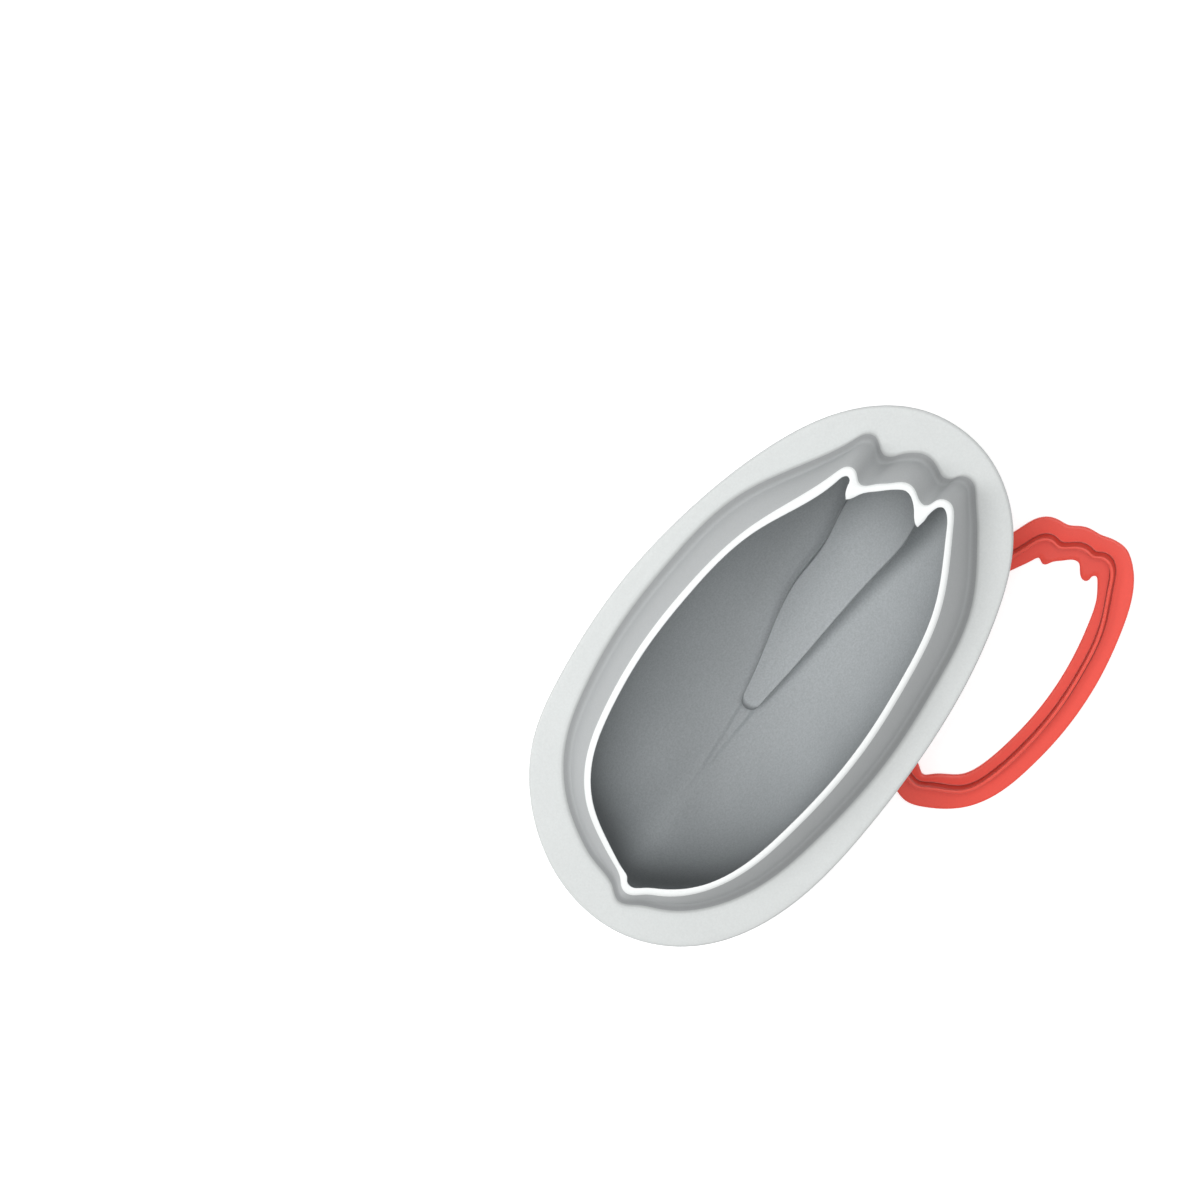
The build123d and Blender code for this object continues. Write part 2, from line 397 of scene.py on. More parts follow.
def floor_material():
    """White to the camera where it is open, with the object's shadow kept."""
    material, nodes, links = new_material("floor")
    paint = nodes.new("ShaderNodeBsdfDiffuse")
    paint.inputs["Color"].default_value = (floor_grey, floor_grey, floor_grey, 1)
    glow = nodes.new("ShaderNodeEmission")
    glow.inputs["Color"].default_value = white
    level = nodes.new("ShaderNodeMath")
    level.operation = "MULTIPLY"
    level.inputs[1].default_value = floor_lift
    add = nodes.new("ShaderNodeAddShader")
    out = nodes.new("ShaderNodeOutputMaterial")
    links.new(seen_directly(nodes, links), level.inputs[0])
    links.new(level.outputs[0], glow.inputs["Strength"])
    links.new(paint.outputs[0], add.inputs[0])
    links.new(glow.outputs[0], add.inputs[1])
    links.new(add.outputs[0], out.inputs["Surface"])
    return material


def add_floor():
    bpy.ops.mesh.primitive_plane_add(size=floor_size, location=(0, 0, -floor_gap))
    floor = bpy.context.object
    floor.name = "floor"
    floor.data.materials.append(floor_material())


def noise(nodes, links, place, size):
    """Noise whose features are of a size in metres."""
    node = nodes.new("ShaderNodeTexNoise")
    node.inputs["Scale"].default_value = 1 / size
    node.inputs["Detail"].default_value = 1
    links.new(place, node.inputs["Vector"])
    return node.outputs["Fac"]


def spread(nodes, links, value, middle, change):
    """Noise stretched to run from below a middle value to above it."""
    node = nodes.new("ShaderNodeMapRange")
    node.inputs["From Min"].default_value = noise_low
    node.inputs["From Max"].default_value = noise_high
    node.inputs["To Min"].default_value = middle - change
    node.inputs["To Max"].default_value = middle + change
    links.new(value, node.inputs["Value"])
    return node.outputs["Result"]


def moulded(name, colour, grain, clouds, roughness, bump_height):
    """A matt moulded surface: fine grain and soft clouds in its colour, times the painted shading.
    """
    material, nodes, links = new_material(name)
    place = nodes.new("ShaderNodeTexCoord").outputs["Object"]
    fine = noise(nodes, links, place, grain_size)
    broad = noise(nodes, links, place, cloud_size)
    painted_shading = nodes.new("ShaderNodeAttribute")
    painted_shading.attribute_name = "painted_shading"
    grain_level = spread(nodes, links, fine, 1, grain)
    cloud_level = spread(nodes, links, broad, 1, clouds)
    level = arithmetic(nodes, links, "MULTIPLY", grain_level, cloud_level)
    level = arithmetic(nodes, links, "MULTIPLY", level, painted_shading.outputs["Fac"])
    tint = nodes.new("ShaderNodeVectorMath")
    tint.operation = "SCALE"
    tint.inputs[0].default_value = colour
    links.new(level, tint.inputs["Scale"])
    bump = nodes.new("ShaderNodeBump")
    bump.inputs["Strength"].default_value = bump_strength
    bump.inputs["Distance"].default_value = bump_height
    links.new(fine, bump.inputs["Height"])
    shader = nodes.new("ShaderNodeBsdfPrincipled")
    dullness = spread(nodes, links, broad, roughness, roughness_change)
    links.new(tint.outputs["Vector"], shader.inputs["Base Color"])
    links.new(dullness, shader.inputs["Roughness"])
    links.new(bump.outputs["Normal"], shader.inputs["Normal"])
    out = nodes.new("ShaderNodeOutputMaterial")
    links.new(shader.outputs[0], out.inputs["Surface"])
    return material


# The silicone painted darker, for the shade inside the cavity
def cavity_silicone_painted_shade():
    return moulded("cavity_silicone_painted_shade", cavity_painted_shade_grey, grain=0.1, clouds=0.03, roughness=0.6,
                   bump_height=0.00006)


# The silicone painted lighter, for the light on the lip's top
def lip_silicone_painted_light():
    return moulded("lip_silicone_painted_light", lip_painted_light_white, grain=0.02, clouds=0.02, roughness=0.5,
                   bump_height=0.00002)


# The silicone painted darker, for the shade on the collar's wall
def collar_silicone_painted_shade():
    return moulded("collar_silicone_painted_shade", collar_painted_shade_grey, grain=0.03, clouds=0.02, roughness=0.6,
                   bump_height=0.00004)


def flange_silicone():
    return moulded("flange_silicone", flange_white, grain=0.03, clouds=0.02, roughness=0.6,
                   bump_height=0.00004)


def cutter_plastic():
    return moulded("cutter_plastic", cutter_red, grain=0.02, clouds=0.02, roughness=0.4,
                   bump_height=0.00002)


class Curve:
    """Smooth curve through points, by chord length. A position on it is counted in points."""

    def __init__(self, points, closed=True):
        self.points = np.array(points, float)
        self.closed = closed
        count = len(self.points)
        steps = np.roll(self.points, -1, axis=0) - self.points
        self.spans = np.hypot(*steps.T)
        slopes = steps / self.spans[:, None]
        bends = 6 * (slopes - np.roll(slopes, 1, axis=0))
        matrix = np.zeros((count, count))
        for i in range(count):
            matrix[i, i - 1] = self.spans[i - 1]
            matrix[i, i] = 2 * (self.spans[i - 1] + self.spans[i])
            matrix[i, (i + 1) % count] = self.spans[i]
        if not closed:
            for end in (0, count - 1):
                matrix[end] = 0
                matrix[end, end] = 1
                bends[end] = 0
        self.curvatures = np.linalg.solve(matrix, bends)

    def at(self, position):
        position = np.asarray(position, float)
        count = len(self.points)
        first = np.floor(position).astype(int)
        if not self.closed:
            first = np.clip(first, 0, count - 2)
        share = (position - first)[..., None]
        rest = 1 - share
        before = first % count
        after = (first + 1) % count
        chord = rest * self.points[before] + share * self.points[after]
        bow = (rest**3 - rest) * self.curvatures[before]
        bow += (share**3 - share) * self.curvatures[after]
        return chord + bow * self.spans[before][..., None] ** 2 / 6


class Reach:
    """How far an outline is from a middle in each direction."""

    def __init__(self, curve, middle=(0, 0)):
        line = curve.at(np.arange(0, len(curve.points), outline_step)) - middle
        angles = np.arctan2(line[:, 1], line[:, 0])
        order = np.argsort(angles)
        self.angles = angles[order]
        self.radii = np.hypot(*line.T)[order]

    def towards(self, x, y):
        return np.interp(np.arctan2(y, x), self.angles, self.radii, period=2 * np.pi)


def unit(degrees):
    return np.array([cos(radians(degrees)), sin(radians(degrees))])


def lengths(vectors):
    """Length of each vector, as a column."""
    return np.linalg.norm(vectors, axis=1)[:, None]


def rim_points(distance, left_hollow=(), right_hollow=()):
    """The rim moved outwards, from the stem tip round the left side, with hollows if given."""
    points = np.array([stem_tip, *left_side, left_lobe, core_lobe, right_lobe, *right_side])
    way = np.roll(points, -1, axis=0) - np.roll(points, 1, axis=0)
    normals = np.stack([-way[:, 1], way[:, 0]], axis=1) / np.hypot(*way.T)[:, None]
    outline = list(points + distance * normals)
    before = outline[:lobe_at]
    after = outline[right_at + 1:]
    lobes = points[lobe_at:right_at + 1]
    left, core, right = [lobe + distance * unit(turn) for lobe, turn in zip(lobes, lobe_spread)]
    return [*before, left, *left_hollow, core, *right_hollow, right, *after]


def lobed_rim(distance):
    """The rim moved outwards, with a valley on each side of the core's lobe."""
    valleys = []
    for notch, lean in ((left_notch, -web_lean), (right_notch, web_lean)):
        valleys.append([notch + web_length * unit(lean) + distance * unit(0)])
    return rim_points(distance, *valleys)


def superellipse(share, fullness):
    """Half width of a superellipse at a share of its height, both from 0 to 1."""
    return (1 - share**fullness) ** (1 / fullness)


def widening(depth, bulge):
    """How far the form stands outside its rim, down to the girth."""
    return bulge * (1 - max(0.0, 1 - depth / girth_depth) ** 2)


def quarter_round(radius, away):
    """How far a quarter round is set off its line, at a distance from the round's corner."""
    into = max(0.0, radius - away)
    return radius - (radius**2 - into**2) ** 0.5


def bowl(girth, bottom):
    """A function that gives the depth of the closing form below each point of the plan."""
    edge = Reach(Curve(girth))

    def depths(plan):
        low = np.zeros(plan.shape[:-1])
        high = np.ones(plan.shape[:-1])
        for _ in range(halvings):
            share = (low + high) / 2
            open_end = superellipse(share, open_end_fullness)
            stem_end = superellipse(share, stem_end_fullness)
            x = plan[..., 0] / np.where(plan[..., 0] > 0, open_end, stem_end)
            y = plan[..., 1] / superellipse(share, side_fullness)
            out = np.hypot(x, y) > edge.towards(x, y)
            high = np.where(out, share, high)
            low = np.where(out, low, share)
        return girth_depth + (bottom - girth_depth) * low

    return depths


def core_outline(depth):
    """The core's oval, askew, at a depth down to the girth."""
    bulge = widening(depth, core_bulge)
    angles = 2 * np.pi * np.arange(core_points) / core_points
    length = core_lobe[0] - core_middle[0] + bulge
    width = core_half_width + bulge
    x = core_middle[0] + length * np.cos(angles) - skew * width * np.sin(angles)
    y = core_middle[1] + width * np.sin(angles)
    return Curve(np.stack([x, y], axis=-1))


def core_depths(plan):
    """Depth of the core's surface below each point of the plan."""
    x = plan[..., 0] - core_middle[0]
    y = plan[..., 1] - core_middle[1]
    share = np.clip(np.hypot(x, y) / core_reach.towards(x, y), 0, 1)
    return girth_depth + (core_depth - girth_depth) * np.sqrt(1 - share**2)


def seam_rise(plan):
    """Height of the low ridge that narrows from the slot's tip towards the stem."""
    x = plan[..., 0]
    places = np.array([seam_end, seam_merge, seam_start])
    middle = np.interp(x, places[:, 0], places[:, 1])
    half = np.interp(x, places[:, 0], seam_widths[::-1]) / 2
    past_slot = np.clip((slot_tip[0] - x) / slot_tip_radius, 0, 1)
    height = np.interp(x, places[:, 0], seam_heights[::-1]) * past_slot
    past_edge = np.abs(plan[..., 1] - middle) - half
    return height / (1 + np.exp(seam_steepness * past_edge / seam_edge))


def turning(first, second):
    """Cross product of plan vectors."""
    return first[..., 0] * second[..., 1] - first[..., 1] * second[..., 0]


def crossing(first, second):
    """Where one line first crosses another, as positions counted in points on each."""
    along_first = np.diff(first, axis=0)[:, None]
    along_second = np.diff(second, axis=0)[None]
    gap = second[None, :-1] - first[:-1, None]
    turn = turning(along_first, along_second)
    on_first = turning(gap, along_second) / turn
    on_second = turning(gap, along_first) / turn
    inside = (on_first >= 0) & (on_first <= 1) & (on_second >= 0) & (on_second <= 1)
    i, j = np.argwhere(inside)[0]
    return i + on_first[i, j], j + on_second[i, j]


def run_of(line):
    """Length along a line at each of its points."""
    return np.concatenate([[0], np.cumsum(np.linalg.norm(np.diff(line, axis=0), axis=-1))])


def eased(total, count):
    """Places from 0 to a total length in so many steps, closer together near both ends."""
    places = np.linspace(0, total, ease_samples)
    from_end = np.minimum(places, total - places)
    spacing = finest + (coarsest - finest) * np.clip(from_end / ease_length, 0, 1)
    steps = np.concatenate([[0], np.cumsum(1 / spacing[1:])])
    return np.interp(np.linspace(0, steps[-1], count + 1), steps, places)


def side_positions(start, end):
    """Positions on the rim of a side's columns."""
    fine = np.linspace(start, end, side_samples)
    run = run_of(Curve(rim_points(0)).at(fine))
    return np.interp(eased(run[-1], side_columns), run, fine)


def slot_edge(side, points, notch, lobe, mouth):
    """A long edge of the slot, from its tip past the rim."""
    start = np.add(slot_tip, (0, side * slot_tip_radius))
    return Curve([start, *points, notch, lobe, mouth], closed=False)


left_positions = side_positions(0, lobe_at)[::-1]
right_positions = side_positions(right_at, rim_count)[::-1][1:]
steps_across = np.linspace(0, 1, core_columns + 1)
across = even_share * steps_across + eased_share * (1 - np.cos(np.pi * steps_across)) / 2
web_shares = (np.arange(web_columns + 1) / web_columns) ** web_crowding
slot_edges = [
    slot_edge(1, slot_left, left_notch, left_lobe, left_mouth),
    slot_edge(-1, slot_right[::-1], right_notch, right_lobe, right_mouth),
]
core_reach = Reach(core_outline(girth_depth), core_middle)


def opening_ends(depth):
    """At a depth: outlines of shell and core, and where they meet each edge of the slot."""
    shell = Curve(rim_points(widening(depth, girth_bulge)))
    core = core_outline(depth)
    shell_searches = ((lobe_at - 1, lobe_at + 1), (right_at + 1, right_at - 1))
    ends = []
    for edge, shell_search, turn in zip(slot_edges, shell_searches, (1, -1)):
        reach = np.linspace(edge_search_start, len(edge.points) - 1, edge_samples)
        round_shell = np.linspace(*shell_search, arc_samples)
        round_core = np.linspace(0, core_search_end * turn, arc_samples)
        on_shell, shell_on_edge = crossing(shell.at(round_shell), edge.at(reach))
        on_core, core_on_edge = crossing(core.at(round_core), edge.at(reach))
        ends.append({
            "shell": np.interp(on_shell, np.arange(arc_samples), round_shell),
            "core": np.interp(on_core, np.arange(arc_samples), round_core),
            "web": np.interp([shell_on_edge, core_on_edge], np.arange(edge_samples), reach),
        })
    return shell, core, ends


def web_line(edge, ends):
    """Points on a slot's edge from the shell to the core."""
    start, end = ends["web"]
    return edge.at(start + (end - start) * web_shares)


def stretched(positions, last, end):
    """Positions on a side, of which those past its last point are spaced out to its end."""
    past = (positions - last) * (end - last) > 0
    return np.where(past, last + (positions - last) * abs(end - last), positions)


def plain_cavity_loop(depth):
    """The cavity's outline in the solid above the girth: shell, right web, core, left web."""
    shell, core, (left, right) = opening_ends(depth)
    left_side_at = stretched(left_positions, lobe_at - 1, left["shell"])
    right_side_at = stretched(right_positions, right_at + 1, right["shell"])
    return np.concatenate([
        shell.at(np.concatenate([left_side_at, right_side_at])),
        web_line(slot_edges[1], right)[1:],
        core.at(right["core"] + (left["core"] - right["core"]) * (1 - across[::-1]))[1:],
        web_line(slot_edges[0], left)[::-1][1:-1],
    ])


def outer_columns():
    """Positions of the cavity's columns on the outside's outline, which has two valleys more."""
    web = np.arange(1, web_columns + 1) / web_columns
    left_valley_at = lobe_at + 1
    right_valley_at = lobe_at + 3
    return np.concatenate([
        left_positions,
        right_positions + 2,
        right_valley_at + 1 - web,
        right_valley_at - 2 * (1 - across[::-1])[1:],
        left_valley_at - web[:-1],
    ])


def outer_loop(distance, scale=1.0):
    """The outside's outline in the solid, at a distance from the rim once it is scaled."""
    return Curve(lobed_rim(distance / scale)).at(outer_columns()) * scale


def columns_on(sections, loop):
    """A loop's columns moved onto an outline in sections, spaced on each as on the loop."""
    curve = Curve([point for section in sections for point in section])
    starts = np.cumsum([0] + [len(section) for section in sections])
    stem, left, left_hollow, right_hollow, right, stem_again = starts
    ways = [(left, stem), (stem_again, right), (right, right_hollow),
            (right_hollow, left_hollow), (left_hollow, left)]
    marks = np.cumsum([0, side_columns, side_columns, web_columns, core_columns, web_columns])
    closed = np.concatenate([loop, loop[:1]])
    made = []
    for (start, end), first, last in zip(ways, marks, marks[1:]):
        fine = np.linspace(start, end, line_samples)
        run = run_of(curve.at(fine))
        share = run_of(closed[first:last + 1])
        made.append(curve.at(np.interp(share[:-1] / share[-1] * run[-1], run, fine)))
    return np.concatenate(made)


def change_of(shape, distance, loop, scale=1.0):
    """How far a shape of the ends moves the columns of a loop at that distance from the rim."""
    sides = np.array(rim_points(distance / scale)) * scale
    sections = [
        [*shape["stem"], *sides[kept_left], *shape["left"]],
        shape["left_web"],
        shape["core"],
        shape["right_web"],
        [*shape["right"], *sides[kept_right], *shape["stem_right"]],
    ]
    return columns_on(sections, loop) - loop


rim_change = change_of(rim_shape, 0, plain_cavity_loop(0))
lip_change = change_of(lip_shape, lip_thickness, outer_loop(lip_thickness))
root_change = change_of(root_shape, crease_distance, outer_loop(crease_distance))


def shares_at(depth):
    """How much of the rim's shape and of the collar root's shape shows at a depth."""
    top = max(0.0, 1 - depth / flange_drop)
    below = (girth_depth - depth) / (girth_depth - flange_drop - flange_thickness)
    return top, (1 - top) * min(1.0, max(0.0, below))


def cavity_loop(depth):
    """The cavity's outline at a depth above the girth."""
    top, root = shares_at(depth)
    return plain_cavity_loop(depth) + top * rim_change + root * root_change


def shell_loop(depth, thickness):
    """The outside's outline at a depth above the girth."""
    top, root = shares_at(depth)
    plain = outer_loop(widening(depth, girth_bulge) + thickness)
    return plain + top * lip_change + root * root_change


def collar_loop(depth):
    """The collar's outside: thinner and rounded at the lip, flared at the root."""
    thickness = lip_thickness + (wall - lip_thickness) * depth / flange_drop
    flare = quarter_round(collar_root, flange_drop - depth) - quarter_round(lip_rounding, depth)
    return shell_loop(depth, thickness + flare)


def at_depth(plan, depth):
    """Points from a plan and its depth, which is one value or one for each point."""
    return np.concatenate([plan, np.broadcast_to(depth, plan.shape[:-1])[..., None]], axis=-1)


def spaced_down(start, end, form, rows, last_step):
    """Rows of points on a form between two lines of its plan, evenly spaced on its surface."""
    shares = np.linspace(0, 1, fall_samples) ** 2
    plan = start + shares[:, None, None] * (end - start)
    dense = at_depth(plan, form(plan))
    dense[0, :, 2] = girth_depth
    made = np.zeros((rows, len(start), 3))
    for column in range(len(start)):
        run = run_of(dense[:, column])
        places = np.linspace(0, run[-1], rows)
        places[-2] = max(places[-2], run[-1] - last_step)
        for axis in range(3):
            made[:, column, axis] = np.interp(places, run, dense[:, column, axis])
    return made


def blended(first, second, shares):
    """Rows of points between two rows."""
    return first + np.asarray(shares)[:, None, None] * (second - first)


class Surface:
    """Grids of points in millimetres, their faces, the faces' materials, the points' painted
    shading.
    """

    def __init__(self):
        self.points = []
        self.painted_shadings = []
        self.faces = []
        self.materials = []

    def grid(self, rows, material, closed=True, painted_shadings=1.0):
        """Faces between rows of points; painted shadings are one value, one a row or one a point.
        """
        rows = np.array(rows)
        height, width = rows.shape[:2]
        painted_shadings = np.array(painted_shadings)
        if painted_shadings.ndim == 1:
            painted_shadings = painted_shadings[:, None]
        first = len(self.points)
        self.points.extend(rows.reshape(-1, 3))
        self.painted_shadings.extend(np.broadcast_to(painted_shadings, (height, width)).ravel())
        for i in range(height - 1):
            row = first + i * width
            for j in range(width if closed else width - 1):
                after = (j + 1) % width
                self.faces.append((row + j, row + after, row + width + after, row + width + j))
                self.materials.append(material)

    def cap(self, loop, material):
        """One flat face that closes a loop."""
        first = len(self.points)
        self.points.extend(loop)
        self.painted_shadings.extend([1.0] * len(loop))
        self.faces.append(tuple(range(first, first + len(loop))))
        self.materials.append(material)

    def piece(self, name, place, materials, node, body, slot):
        """A smooth piece in metres that stands for a node; depths are turned into heights."""
        points = (np.array(self.points) * (1, 1, -1) + place) / millimetres
        mesh = bpy.data.meshes.new(name)
        mesh.from_pydata(points.tolist(), [], self.faces)
        mesh.polygons.foreach_set("material_index", self.materials)
        painted_shadings = mesh.attributes.new("painted_shading", "FLOAT", "POINT")
        painted_shadings.data.foreach_set("value", np.array(self.painted_shadings, np.float32))
        built = bmesh.new()
        built.from_mesh(mesh)
        bmesh.ops.remove_doubles(built, verts=built.verts, dist=weld_distance)
        bmesh.ops.recalc_face_normals(built, faces=built.faces)
        built.to_mesh(mesh)
        built.free()
        mesh.shade_smooth()
        for material in materials:
            mesh.materials.append(material)
        piece = bpy.data.objects.new(name, mesh)
        bpy.context.scene.collection.objects.link(piece)
        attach(piece, body)
        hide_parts(node)


def depth_tone(depth):
    """Tone at a depth in the cavity, which its undercut shades below the girth."""
    return 1 - cavity_shade * np.exp(-(((depth - shade_depth) / shade_spread) ** 2))


def painted_crease_shade(away):
    """Painted shade at a distance from the collar's root, darkest in its crease."""
    return 1 - painted_crease_darkness * np.exp(-((away / painted_crease_width) ** 2))


def add_walls(surface):
    """The cavity from just under its lip to its girth; returns its first and last rows."""
    depths = [inner_lip_rounding, *wall_depths, girth_depth]
    rows = [at_depth(cavity_loop(depth), depth) for depth in depths]
    surface.grid(rows, CAVITY, painted_shadings=depth_tone(np.array(depths)))
    return rows[0], rows[-1]


def slot_lines(ends):
    """The slot's edges at the girth in plan: its webs, the core's two edges and its tip."""
    webs = [web_line(edge, end) for edge, end in zip(slot_edges, ends)]
    core_edges = []
    for edge, end in zip(slot_edges, ends):
        fine = np.linspace(end["web"][1], 0, line_samples)
        line = edge.at(fine)
        run = run_of(at_depth(line, core_depths(line)))
        places = np.linspace(0, run[-1], edge_columns + 1)
        core_edges.append(edge.at(np.interp(places, run, fine)))
    turn = np.pi * (0.5 + across[:, None])
    around = np.concatenate([np.cos(turn), np.sin(turn)], axis=1)
    return webs, core_edges, np.array(slot_tip) + slot_tip_radius * around


def add_shell_halves(surface, girth, webs, core_edges, tip):
    """The halves of the shell from the girth to the slot, and their seam; returns the last row."""
    slot_line = np.concatenate([
        webs[0],
        core_edges[0][1:],
        tip[1:-1],
        core_edges[1][::-1],
        webs[1][::-1][1:],
    ])
    form = bowl(rim_points(girth_bulge), cavity_depth)
    start = girth[:len(slot_line), :2]
    shell = spaced_down(start, slot_line, form, wall_rows, last_wall_step)
    shell[1:, :, 2] -= seam_rise(shell[1:, :, :2])
    surface.grid(shell, CAVITY, closed=False, painted_shadings=depth_tone(shell[..., 2]))
    return shell[-1]


def add_core(surface, ends, core_edges, tip):
    """The core: rungs between its edges, bent to its arc at one end and to the slot's tip."""
    left_end, right_end = (end["core"] for end in ends)
    arc = core_outline(girth_depth).at(left_end + (right_end - left_end) * across)
    shares = across[None, :, None]
    rungs = core_edges[0][:, None] * (1 - shares) + core_edges[1][:, None] * shares
    count = np.arange(edge_columns + 1)[:, None, None]
    plan = rungs + np.clip(1 - count / arc_rungs, 0, 1) ** 2 * (arc - rungs[0])
    to_tip = np.clip(1 - (edge_columns - count) / tip_rungs, 0, 1) ** 2
    plan = plan + to_tip * (tip - rungs[-1])
    core = at_depth(plan, core_depths(plan))
    core[0, :, 2] = girth_depth
    # Painted light on the core's face, with painted shade below the undercut and along its edges
    painted_shadings = depth_tone(core[..., 2]) * core_painted_light
    painted_shadings[:, (0, -1)] *= 1 - core_edge_painted_shade
    painted_shadings[-1] *= 1 - core_edge_painted_shade
    surface.grid(core, CAVITY, closed=False, painted_shadings=painted_shadings)
    return core


def add_steps(surface, webs, core, lower):
    """The steps from the edges of webs and core down to the shell halves."""
    upper = np.concatenate([
        at_depth(webs[0], girth_depth),
        core[1:, 0],
        core[-1, 1:-1],
        core[1:, -1][::-1],
        at_depth(webs[1], girth_depth)[::-1],
    ])
    steps = blended(upper, lower, step_shares)
    # Painted shade below the undercut, darker still along the steps' top edges
    painted_shadings = depth_tone(steps[..., 2])
    painted_shadings[:2] *= 1 - core_edge_painted_shade
    surface.grid(steps, CAVITY, closed=False, painted_shadings=painted_shadings)


def add_cavity(surface):
    """Walls, shell halves, core and the steps between them; returns the top row of the walls."""
    top, girth = add_walls(surface)
    _, _, ends = opening_ends(girth_depth)
    webs, core_edges, tip = slot_lines(ends)
    lower = add_shell_halves(surface, girth, webs, core_edges, tip)
    core = add_core(surface, ends, core_edges, tip)
    add_steps(surface, webs, core, lower)
    return top


def add_lip(surface, cavity_top):
    """The lip, rounded a little inside and more outside."""
    inner = cavity_loop(0)
    outer = collar_loop(0)
    way = (outer - inner) / lengths(outer - inner)
    part = inner_lip_rounding * round_middle
    rows = [
        cavity_top,
        at_depth(inner + way * inner_lip_rounding * round_middle, part),
        at_depth(inner + way * inner_lip_rounding, 0),
        at_depth((inner + outer) / 2, 0),
        at_depth(outer, 0),
        at_depth(collar_loop(lip_rounding * round_middle), lip_rounding * round_middle),
        at_depth(collar_loop(lip_rounding), lip_rounding),
    ]
    surface.grid(rows, LIP)


def add_collar(surface):
    """The collar from the lip down to the flange, flared at its root; returns the last row."""
    depths = [lip_rounding, *collar_depths]
    depths += [flange_drop - collar_root * (1 - sin(radians(angle))) for angle in root_angles]
    rows = [at_depth(collar_loop(depth), depth) for depth in depths]
    # Painted shade in the crease at the collar's root
    painted_shadings = [painted_crease_shade(flange_drop - depth) for depth in depths]
    surface.grid(rows, COLLAR, painted_shadings=painted_shadings)
    return rows[-1]


def edge_round(edge, out, top, downwards):
    """Rows round a flange edge of which the plan's outermost line is given."""
    rows = []
    for angle in flange_edge_angles:
        away = flange_edge_rounding * (1 - sin(radians(angle)))
        down = flange_edge_rounding * (1 - cos(radians(angle)))
        rows.append(at_depth(edge - out * away, top + downwards * down))
    return rows


def add_flange(surface, root):
    """The flange's top, rounded edges and underside."""
    reach = Reach(Curve(flange_outline)).towards(root[:, 0], root[:, 1])
    out = root[:, :2] / lengths(root[:, :2])
    edge = out * reach[:, None]
    bottom = flange_drop + flange_thickness
    under = at_depth(shell_loop(bottom, wall), bottom)
    top_rows = edge_round(edge, out, flange_drop, 1)
    bottom_rows = edge_round(edge, out, bottom, -1)[::-1]
    top = [*blended(root, top_rows[0], flange_top_shares), top_rows[0]]
    away = [np.linalg.norm(row - root, axis=1) for row in top]
    # Painted shade on the flange beside the collar's root
    surface.grid(top, FLANGE, painted_shadings=painted_crease_shade(np.array(away)))
    rim = [*top_rows, *bottom_rows, *blended(bottom_rows[-1], under, flange_under_shares)]
    surface.grid(rim, FLANGE)


def add_outside(surface):
    """The shell below the flange and its foot."""
    depths = [flange_drop + flange_thickness, *outside_depths, girth_depth]
    upper = [at_depth(shell_loop(depth, wall), depth) for depth in depths]
    surface.grid(upper, FLANGE)
    middle = -np.array(rim_centre)
    girth = upper[-1][:, :2]
    across_foot = (girth[:, 1] - middle[1]) / foot_width
    along_foot = (girth[:, 0] - middle[0]) / foot_length
    turn = np.arctan2(across_foot, along_foot)
    around = np.stack([np.cos(turn), np.sin(turn)], axis=1)

    def pad(inset):
        return middle + (np.array([foot_length, foot_width]) / 2 - inset) * around

    form = bowl(lobed_rim(girth_bulge + wall), cavity_depth + wall)
    shell = spaced_down(girth, pad(0), form, outside_rows, last_outside_step)
    surface.grid(shell, FLANGE)
    edge = at_depth(pad(0), rim_height - foot_chamfer)
    part = foot_edge_share * foot_chamfer
    rows = [
        *blended(shell[-1], edge, foot_side_shares),
        at_depth(pad(part), rim_height - part),
        at_depth(pad(foot_chamfer), rim_height),
        at_depth(pad(2 * foot_chamfer), rim_height),
    ]
    centre = at_depth(np.broadcast_to(middle, girth.shape), rim_height)
    rows += list(blended(rows[-1], centre, foot_bottom_shares))
    surface.grid(rows, FLANGE)
    surface.cap(rows[-1], FLANGE)


def add_mould(materials):
    surface = Surface()
    cavity_top = add_cavity(surface)
    add_lip(surface, cavity_top)
    root = add_collar(surface)
    add_flange(surface, root)
    add_outside(surface)
    place = (*rim_centre, rim_height)
    surface.piece("silicone_mould", place, materials, "mould", "mould", "silicone")


def cutter_loop(distance):
    """The cutter's outline in the solid, at a distance outside its hole."""
    return outer_loop(distance, cutter_scale)


def cutter_change(shape, distance):
    """How far a shape of the ends moves the cutter's columns at that distance."""
    return change_of(shape, distance, cutter_loop(distance), cutter_scale)


hole_line = cutter_loop(0) + cutter_change(hole_shape, 0)
rib_change = cutter_change(rib_shape, rib_offset)
ring_change = cutter_change(ring_shape, ring_width)
hole_to_rib = cutter_loop(rib_offset) + rib_change - hole_line
out_of_hole = hole_to_rib / lengths(hole_to_rib)


def hole_row(inset, height):
    """A row at a height, set in from the hole's edge."""
    return at_depth(hole_line + out_of_hole * inset, -height)


def ring_row(inset, height):
    """A row at a height, set in from the ring's outer edge."""
    return at_depth(cutter_loop(ring_width - inset) + ring_change, -height)


def rib_row(side, height, outset=0.0):
    """A row on a side of the rib, -1 inside and 1 outside, or out from that side."""
    share = height / (ring_thickness + rib_height)
    half = (rib_base + (rib_edge - rib_base) * share) / 2
    return at_depth(cutter_loop(rib_offset + side * (half + outset)) + rib_change, -height)


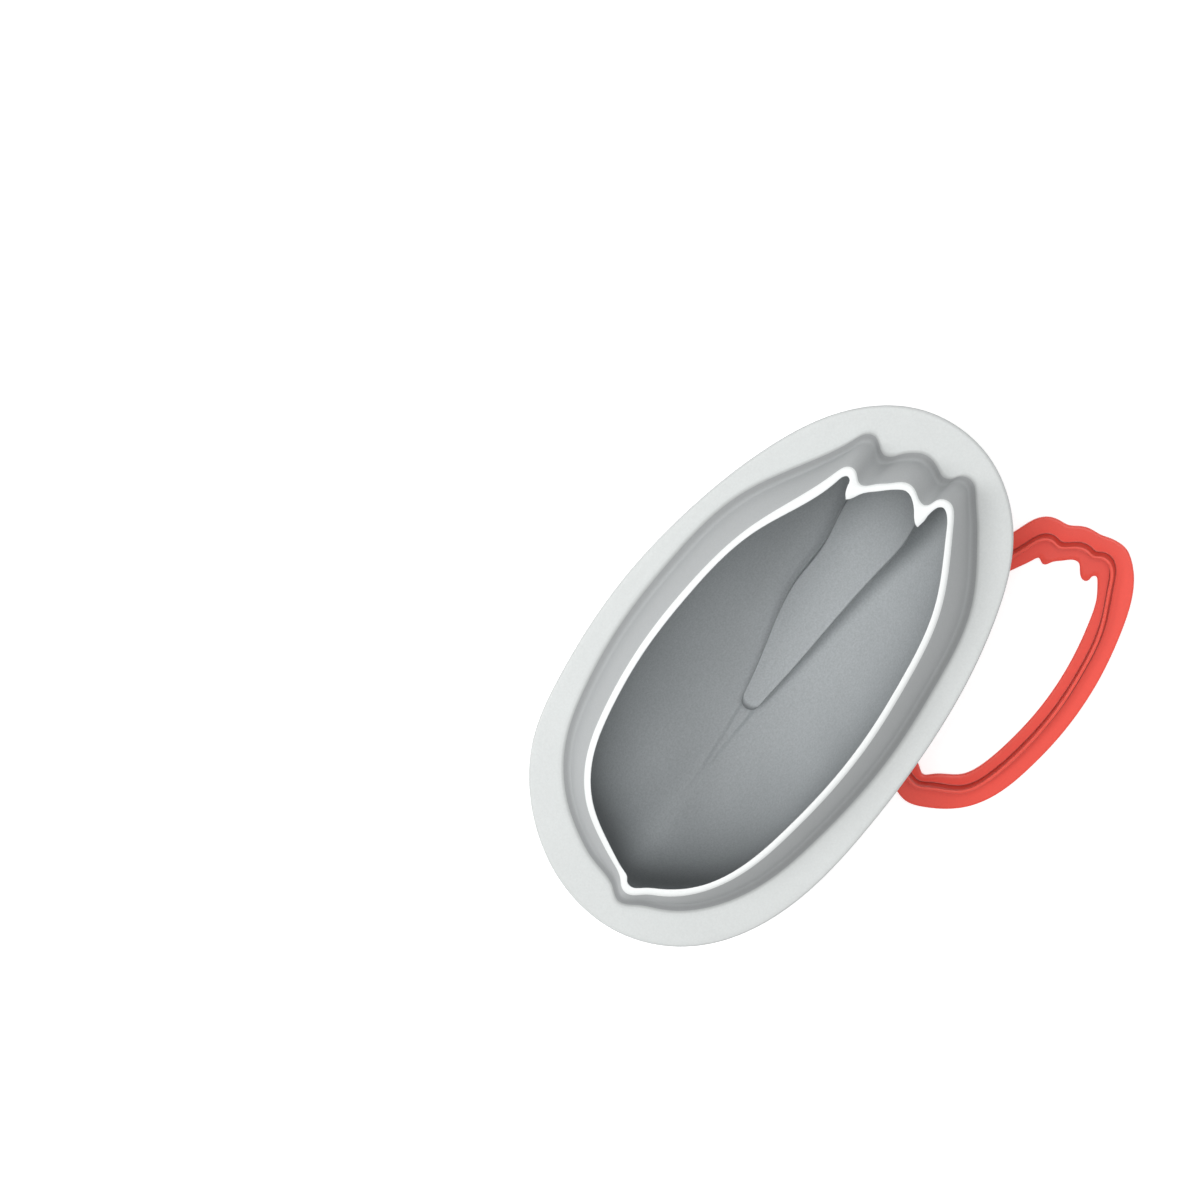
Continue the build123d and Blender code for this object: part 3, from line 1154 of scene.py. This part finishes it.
def ring_edge(row):
    """Rows down an edge of the ring, rounded at the top and a little at the foot."""
    part = ring_rounding * round_middle
    return [
        row(ring_rounding, ring_thickness),
        row(part, ring_thickness - part),
        row(0, ring_thickness - ring_rounding),
        row(0, ring_foot_rounding),
        row(ring_foot_rounding, 0),
    ]


def rib_face(side):
    """Rows up a side of the rib, from the ring to the rounded top."""
    foot = ring_thickness
    top = ring_thickness + rib_height
    part = rib_top_rounding * round_middle
    return [
        rib_row(side, foot, rib_foot_far),
        rib_row(side, foot, rib_foot_near),
        rib_row(side, foot + rib_foot_near),
        rib_row(side, foot + rib_foot_far),
        rib_row(side, (foot + top) / 2),
        rib_row(side, top - rib_top_rounding),
        rib_row(side, top - part, -part),
        rib_row(side, top, -rib_top_rounding),
    ]


def add_cutter(material):
    """The ring and its rib, as one closed profile swept round the rim's outline."""
    inner_edge = ring_edge(hole_row)[::-1]
    outer_edge = ring_edge(ring_row)
    inner_face = rib_face(-1)
    outer_face = rib_face(1)
    rows = [
        *inner_edge,
        *blended(inner_edge[-1], inner_face[0], ring_inner_shares),
        *inner_face,
        *outer_face[::-1],
        *blended(outer_face[0], outer_edge[0], ring_outer_shares),
        *outer_edge,
        *blended(outer_edge[-1], inner_edge[0], ring_under_shares),
    ]
    # Painted shade at the rib's foot and down its sides
    painted_shadings = np.ones(len(rows))
    first = len(inner_edge) + len(ring_inner_shares)
    painted_shadings[first:first + 2 * len(rib_painted_shades)] = rib_painted_shades + rib_painted_shades[::-1]
    surface = Surface()
    surface.grid(rows, 0, painted_shadings=painted_shadings)
    place = (*np.add(rim_centre, cutter_place), 0)
    surface.piece("ring_cutter", place, [material], "base_cutter", "base_cutter", "cutter_plastic")


add_camera()
add_floor()
set_world()
add_light("key", in_picture(*key_place), key_size, key_power)
add_light("fill", in_picture(*fill_place), fill_size, fill_power)
add_mould([cavity_silicone_painted_shade(), lip_silicone_painted_light(), collar_silicone_painted_shade(), flange_silicone()])
add_cutter(cutter_plastic())

bpy.context.scene.view_settings.view_transform = "Standard"
